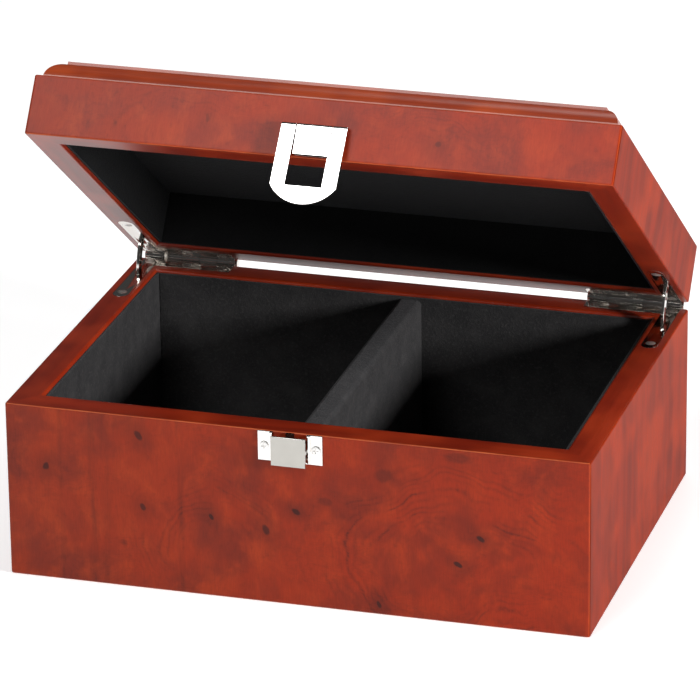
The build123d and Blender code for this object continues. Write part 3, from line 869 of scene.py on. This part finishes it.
@dataclass
class Studio:
    """The floor, the lamps, the surroundings and the camera."""

    floor_size: float = 14.0
    world_strength: float = 0.05
    camera_place: Colour = (0.639173, -2.142798, 0.990732)
    camera_right: Colour = (0.959374, 0.281891, -0.011795)
    camera_down: Colour = (0.095197, -0.362778, -0.927)
    camera_ahead: Colour = (-0.265592, 0.888217, -0.374875)
    lens_mm: float = 269.894
    lamps: tuple[SoftLight, ...] = (
        SoftLight("side_lamp", 71.5, 14.0, 1.8, 0.15, 0.3, 36.0, mirrored=False),
        SoftLight("front_softbox", -25.0, 52.0, 2.2, 1.2, 1.1, 27.0),
        SoftLight("top_softbox", 165.0, 62.0, 2.4, 1.6, 1.2, 20.0),
        SoftLight("back_strip", 166.0, 25.0, 2.4, 1.8, 0.06, 2.5),
    )

    def build(self) -> None:
        """Make all of it."""
        self._floor()
        for lamp in self.lamps:
            lamp.build()
        self._world()
        self._camera()
        bpy.context.scene.view_settings.view_transform = "Standard"

    def _floor(self) -> None:
        """A plain floor under the box."""
        half = self.floor_size / 2
        mesh = bpy.data.meshes.new("floor")
        corners = [(-half, -half, 0), (half, -half, 0), (half, half, 0), (-half, half, 0)]
        mesh.from_pydata(corners, [], [(0, 1, 2, 3)])
        floor = add_piece("floor", mesh, PaleFloor().build())
        floor.location.z = -0.0002

    def _world(self) -> None:
        """Even white surroundings."""
        world = bpy.data.worlds.new("studio_white")
        world.use_nodes = True
        background = world.node_tree.nodes["Background"]
        background.inputs["Color"].default_value = (1.0, 1.0, 1.0, 1.0)
        background.inputs["Strength"].default_value = self.world_strength
        bpy.context.scene.world = world

    def _camera(self) -> None:
        """The camera, at the angle that shows the front, the right side and the open lid."""
        axes = (self.camera_right, self.camera_down, self.camera_ahead)
        right, down, ahead = (Vector(part) for part in axes)
        turn = Matrix((right, -down, -ahead)).transposed()
        data = bpy.data.cameras.new("camera")
        data.lens = self.lens_mm
        data.sensor_width = 36.0
        camera = bpy.data.objects.new("camera", data)
        camera.matrix_world = Matrix.Translation(self.camera_place) @ turn.to_4x4()
        bpy.context.scene.collection.objects.link(camera)
        bpy.context.scene.camera = camera


# ---- Sub-assemblies ----
def dress(node: str, material: bpy.types.Material) -> None:
    """Give a CAD node its finish.

    Args:
        node: The node.
        material: The finish.
    """
    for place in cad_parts[node].material_slots:
        place.material = material
    LOG.info("%s: finished with %s", node, material.name)


@dataclass
class WoodenCase:
    """The boards and veneers of the base and the lid."""

    def build(self) -> None:
        """Dress every board and veneer."""
        dress_walls()
        for carrier in Carrier:
            self._boards(carrier, "wall", carrier.value, BOARD_STAIN, 0.6)
        self._boards(Carrier.LID, "", "lid_moulding", MOULDING_STAIN, 0.8)
        plain = StainedWood("base_bottom_wood", Carrier.BASE, Grain.ALONG_X, BOARD_STAIN).build()
        dress("base_bottom_panel", plain)
        dress("lid_top_panel", plain)
        top = BurlVeneer("lid_top_burl", Carrier.LID, Side.FRONT, LID_STAIN, 2.0 * HALF_WIDTH, (-9.0, 99.0))
        dress("lid_top_veneer", top.build())

    @staticmethod
    def _boards(carrier: Carrier, tail: str, head: str, stain: Stain, figure: float) -> None:
        """Finish four mitred boards, each with its grain along it.

        Args:
            carrier: The part that the boards belong to.
            tail: The end of their names.
            head: The start of their names.
            stain: Their colours.
            figure: Strength of the grain.
        """
        for grain, sides in {Grain.ALONG_X: ("front", "back"), Grain.ALONG_Y: ("left", "right")}.items():
            wood = StainedWood(
                f"{head}_boards_{grain.value}", carrier, grain, stain,
                gloss=0.3, figure=figure, haze=0.1, shine=0.5,
            ).build()
            for side in sides:
                dress("_".join(part for part in (head, side, tail) if part), wood)


@dataclass
class Linings:
    """The flocked cards and the divider, their edges softened by the flock."""

    softening_mm: float = 0.4

    def build(self) -> None:
        """Make the linings again with soft edges."""
        flocks = {
            "base": FlockLining("black_flock", shade(31, 31, 32), shade(68, 66, 66)).build(),
            # The lid's flock is a darker copy of the base's flock: painted shade for the lid's shaded inside.
            "lid": FlockLining("black_flock_lid_shaded", shade(8, 8, 8), shade(20, 20, 20)).build(),
        }
        for node in list(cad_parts):
            if "lining" in node or node == "compartment_divider":
                body = "lid" if node.startswith("lid") else "base"
                EasedCopy(node, body, "flock_lining", flocks[body], self.softening_mm).build()


@dataclass
class ScrewSet:
    """The cross-head screws that stand in for one CAD node."""

    node: str
    body: str
    facing: Vector
    material: bpy.types.Material
    head_mm: float
    sink_mm: float
    crown_mm: float
    shank_mm: float
    length_mm: float
    slot_mm: tuple[float, float, float]
    seed: int
    sides: int = 32

    def build(self) -> bpy.types.Object:
        """Make the screws, fasten them to their body and let them stand for the node.

        Returns:
            The piece.
        """
        mesh = bpy.data.meshes.new(f"{self.node}_places")
        mesh.from_pydata(self._places(), [], [])
        holder = bpy.data.objects.new(f"{self.node}_places", mesh)
        bpy.context.scene.collection.objects.link(holder)
        modifier = holder.modifiers.new("screws", "NODES")
        modifier.node_group, inputs = self._tree()
        for name, amount in self._amounts().items():
            modifier[inputs[name]] = amount
        piece = add_piece(f"{self.node}_made", shaded(baked(holder), 30.0), self.material)
        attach(piece, self.body)
        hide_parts(self.node)
        LOG.info("%s: %d faces on %s", piece.name, len(piece.data.polygons), self.body)
        return piece

    def _amounts(self) -> dict[str, float | int | Sequence[float] | bpy.types.Material]:
        """The named inputs of the tree, lengths in metres."""
        return {
            "Head radius": self.head_mm * MM,
            "Sink depth": self.sink_mm * MM,
            "Crown": self.crown_mm * MM,
            "Shank radius": self.shank_mm * MM,
            "Length": self.length_mm * MM,
            "Slot size": tuple(part * MM for part in self.slot_mm),
            "Facing": tuple(self.facing),
            "Seed": self.seed,
            "Finish": self.material,
        }

    def _places(self) -> list[Vector]:
        """The middle of each head's face, from the solids of the CAD node."""
        work = bmesh.new()
        work.from_mesh(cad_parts[self.node].data)
        bmesh.ops.remove_doubles(work, verts=work.verts, dist=WELD_DISTANCE)
        waiting, places = set(work.verts), []
        while waiting:
            group, edge = [], [waiting.pop()]
            while edge:
                vertex = edge.pop()
                group.append(vertex.co.copy())
                near = {link.other_vert(vertex) for link in vertex.link_edges} & waiting
                waiting -= near
                edge += near
            face = max(point.dot(self.facing) for point in group)
            middle = sum((point for point in group), Vector()) / len(group)
            places.append(middle + self.facing * (face - middle.dot(self.facing)))
        work.free()
        return sorted(places, key=lambda point: tuple(point))

    def _tree(self) -> tuple[bpy.types.NodeTree, dict[str, str]]:
        """The Geometry Nodes tree and the identifiers of its inputs.

        Returns:
            The tree, and each input's identifier by its name.
        """
        group = bpy.data.node_groups.new(f"{self.node}_screws", "GeometryNodeTree")
        kinds = {
            "Places": "Geometry", "Head radius": "Float", "Sink depth": "Float", "Crown": "Float",
            "Shank radius": "Float", "Length": "Float", "Slot size": "Vector", "Facing": "Vector",
            "Seed": "Int", "Finish": "Material",
        }
        for name, kind in kinds.items():
            group.interface.new_socket(name=name, in_out="INPUT", socket_type=f"NodeSocket{kind}")
        group.interface.new_socket(name="Screws", in_out="OUTPUT", socket_type="NodeSocketGeometry")
        tree = Tree(group)
        given = tree.add("NodeGroupInput").outputs
        size = {name: Value(tree, given[name]) for name in kinds}
        bodies = self._solids(tree, size)
        joined = self._boolean(tree, "UNION", {"Mesh 2": bodies})
        arms = []
        for turn in (0.0, math.pi / 2):
            bar = tree.add("GeometryNodeMeshCube", sockets={"Size": size["Slot size"]})
            arms.append(self._moved(tree, Value(tree, bar.outputs["Mesh"]), (0.0, 0.0, 0.0), turn))
        cut = self._boolean(tree, "DIFFERENCE", {"Mesh 1": joined, "Mesh 2": arms})
        spin = tree.add(
            "FunctionNodeRandomValue", {"data_type": "FLOAT"}, {2: 0.0, 3: math.tau, "Seed": size["Seed"]}
        )
        about = tree.add("ShaderNodeCombineXYZ", sockets={"Z": Value(tree, spin.outputs[1])})
        turned = tree.add("FunctionNodeEulerToRotation", sockets={0: Value(tree, about.outputs[0])})
        facing = tree.add(
            "FunctionNodeAlignRotationToVector", {"axis": "Z"},
            {"Rotation": Value(tree, turned.outputs[0]), "Vector": size["Facing"]},
        )
        placed = tree.add("GeometryNodeInstanceOnPoints", sockets={
            "Points": size["Places"], "Instance": cut, "Rotation": Value(tree, facing.outputs[0]),
        })
        real = tree.add("GeometryNodeRealizeInstances", sockets={0: Value(tree, placed.outputs[0])})
        finished = tree.add("GeometryNodeSetMaterial", sockets={
            "Geometry": Value(tree, real.outputs[0]), "Material": size["Finish"],
        })
        tree.add("NodeGroupOutput", sockets={0: Value(tree, finished.outputs[0])})
        return group, {item.name: item.identifier for item in group.interface.items_tree}

    def _solids(self, tree: Tree, size: dict[str, Value]) -> list[Value]:
        """Shank, point, sunk head and crown of one screw, its face at the origin.

        Args:
            tree: The tree to build in.
            size: The inputs of the tree.

        Returns:
            The four solids.
        """
        half_sink = size["Sink depth"] * 0.5
        point = size["Shank radius"] * 2.2
        shank_length = size["Length"] - half_sink - point
        shank = tree.add("GeometryNodeMeshCylinder", {"fill_type": "NGON"}, {
            "Vertices": self.sides // 2, "Radius": size["Shank radius"], "Depth": shank_length,
        })
        tip = tree.add("GeometryNodeMeshCone", {"fill_type": "NGON"}, {
            "Vertices": self.sides // 2, "Radius Top": size["Shank radius"] * 0.99,
            "Radius Bottom": 0.0, "Depth": point * 1.02,
        })
        head = tree.add("GeometryNodeMeshCone", {"fill_type": "NGON"}, {
            "Vertices": self.sides, "Radius Top": size["Head radius"],
            "Radius Bottom": size["Shank radius"] * 1.05, "Depth": size["Sink depth"],
        })
        crown = tree.add("GeometryNodeMeshUVSphere", {}, {
            "Segments": self.sides, "Rings": 12, "Radius": size["Head radius"] * 0.975,
        })
        squash = tree.add("ShaderNodeCombineXYZ", sockets={
            "X": 1.0, "Y": 1.0, "Z": size["Crown"] / size["Head radius"],
        })
        flat = tree.add("GeometryNodeTransform", sockets={
            "Geometry": Value(tree, crown.outputs["Mesh"]), "Scale": Value(tree, squash.outputs[0]),
        })
        shank_middle = (half_sink + shank_length * 0.5) * -1.0
        return [
            self._moved(tree, Value(tree, shank.outputs["Mesh"]), shank_middle),
            self._moved(tree, Value(tree, tip.outputs["Mesh"]), size["Length"] * -1.0),
            self._moved(tree, Value(tree, head.outputs["Mesh"]), size["Sink depth"] * -1.0),
            Value(tree, flat.outputs["Geometry"]),
        ]

    @staticmethod
    def _moved(tree: Tree, shape: Value, up: Value | Sequence[float], turn: float = 0.0) -> Value:
        """A shape moved along Z and turned about it.

        Args:
            tree: The tree to build in.
            shape: The shape.
            up: How far along Z, or the whole move.
            turn: The turn in radians.

        Returns:
            The moved shape.
        """
        move = up
        if isinstance(up, Value):
            move = Value(tree, tree.add("ShaderNodeCombineXYZ", sockets={"Z": up}).outputs[0])
        made = tree.add("GeometryNodeTransform", sockets={
            "Geometry": shape, "Translation": move, "Rotation": (0.0, 0.0, turn),
        })
        return Value(tree, made.outputs["Geometry"])

    @staticmethod
    def _boolean(tree: Tree, operation: str, sockets: dict[str, Value | list[Value]]) -> Value:
        """Solids joined or cut.

        Args:
            tree: The tree to build in.
            operation: The node's operation.
            sockets: Its meshes.

        Returns:
            The result.
        """
        made = tree.add("GeometryNodeMeshBoolean", {"operation": operation, "solver": "EXACT"}, sockets)
        return Value(tree, made.outputs["Mesh"])


@dataclass
class Hardware:
    """Hinges, stays, hasp and keeper."""

    leaf_ease_mm: float = 0.25
    sheet_ease_mm: float = 0.22
    small_ease_mm: float = 0.1

    def build(self) -> None:
        """Make the pressed pieces again with eased edges, and the screws with real heads."""
        bright = PlatedMetal("nickel_plate", (0.9, 0.89, 0.87), 0.05, 0.03).build()
        # The lever's plating is a darker copy of the bright plating. Its rougher finish is real, and its
        # darker colour is painted shade.
        brushed = PlatedMetal("nickel_lever_shaded", (0.5, 0.485, 0.45), 0.12).build()
        hinge = PlatedMetal("nickel_hinge", (0.76, 0.73, 0.69), 0.09, 0.0).build()
        wire = PlatedMetal("spring_wire", (0.6, 0.6, 0.62), 0.25).build()
        heads = PlatedMetal("screw_heads", (0.95, 0.94, 0.92), 0.36, 0.03).build()
        eased = {
            "hasp_loop": ("hasp", bright, self.sheet_ease_mm),
            "hasp_plate": ("lid", bright, self.small_ease_mm),
            "keeper_plate": ("base", bright, self.small_ease_mm),
            "keeper_lever": ("press_lever", brushed, self.small_ease_mm),
        }
        for side in ("left", "right"):
            eased |= {
                f"{side}_hinge_base_leaf": ("base", hinge, self.leaf_ease_mm),
                f"{side}_hinge_lid_leaf": ("lid", hinge, self.leaf_ease_mm),
                f"{side}_hinge_stay": (f"{side}_stay", hinge, self.leaf_ease_mm),
                f"{side}_hinge_pin": ("base", hinge, self.leaf_ease_mm),
            }
        for node, (body, metal, ease) in eased.items():
            EasedCopy(node, body, "nickel_plate", metal, ease).build()
        for node in ("hasp_pin", "keeper_axle"):
            dress(node, bright)
        dress("keeper_spring", wire)
        self._screws(heads)

    @staticmethod
    def _screws(metal: bpy.types.Material) -> None:
        """Make the four sets of screws."""
        tilt = math.radians(LID_REST_DEGREES)
        lid_down = Vector((0.0, -math.sin(tilt), -math.cos(tilt)))
        lid_out = Vector((0.0, -math.cos(tilt), math.sin(tilt)))
        hinge = {"head_mm": 2.3, "sink_mm": 1.2, "crown_mm": 0.16, "shank_mm": 1.05, "length_mm": 9.0}
        small = {"head_mm": 1.7, "sink_mm": 0.5, "crown_mm": 0.2, "shank_mm": 0.85, "length_mm": 8.8}
        keeper = {"head_mm": 2.1, "sink_mm": 0.5, "crown_mm": 0.18, "shank_mm": 1.05, "length_mm": 9.8}
        ScrewSet("hinge_base_screws", "base", Vector((0.0, 0.0, 1.0)), metal,
                 slot_mm=(2.5, 0.55, 1.0), seed=3, **hinge).build()
        ScrewSet("hinge_lid_screws", "lid", lid_down, metal,
                 slot_mm=(2.5, 0.55, 1.0), seed=8, **hinge).build()
        ScrewSet("keeper_screws", "base", Vector((0.0, -1.0, 0.0)), metal,
                 slot_mm=(2.5, 0.5, 0.9), seed=5, **keeper).build()
        ScrewSet("hasp_screws", "lid", lid_out, metal,
                 slot_mm=(1.9, 0.4, 0.8), seed=2, **small).build()


def main() -> None:
    """Build every class in order."""
    logging.basicConfig(level=logging.INFO, format="%(name)s: %(message)s")
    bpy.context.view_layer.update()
    Studio().build()
    WoodenCase().build()
    Linings().build()
    Hardware().build()


if __name__ == "__main__":
    main()
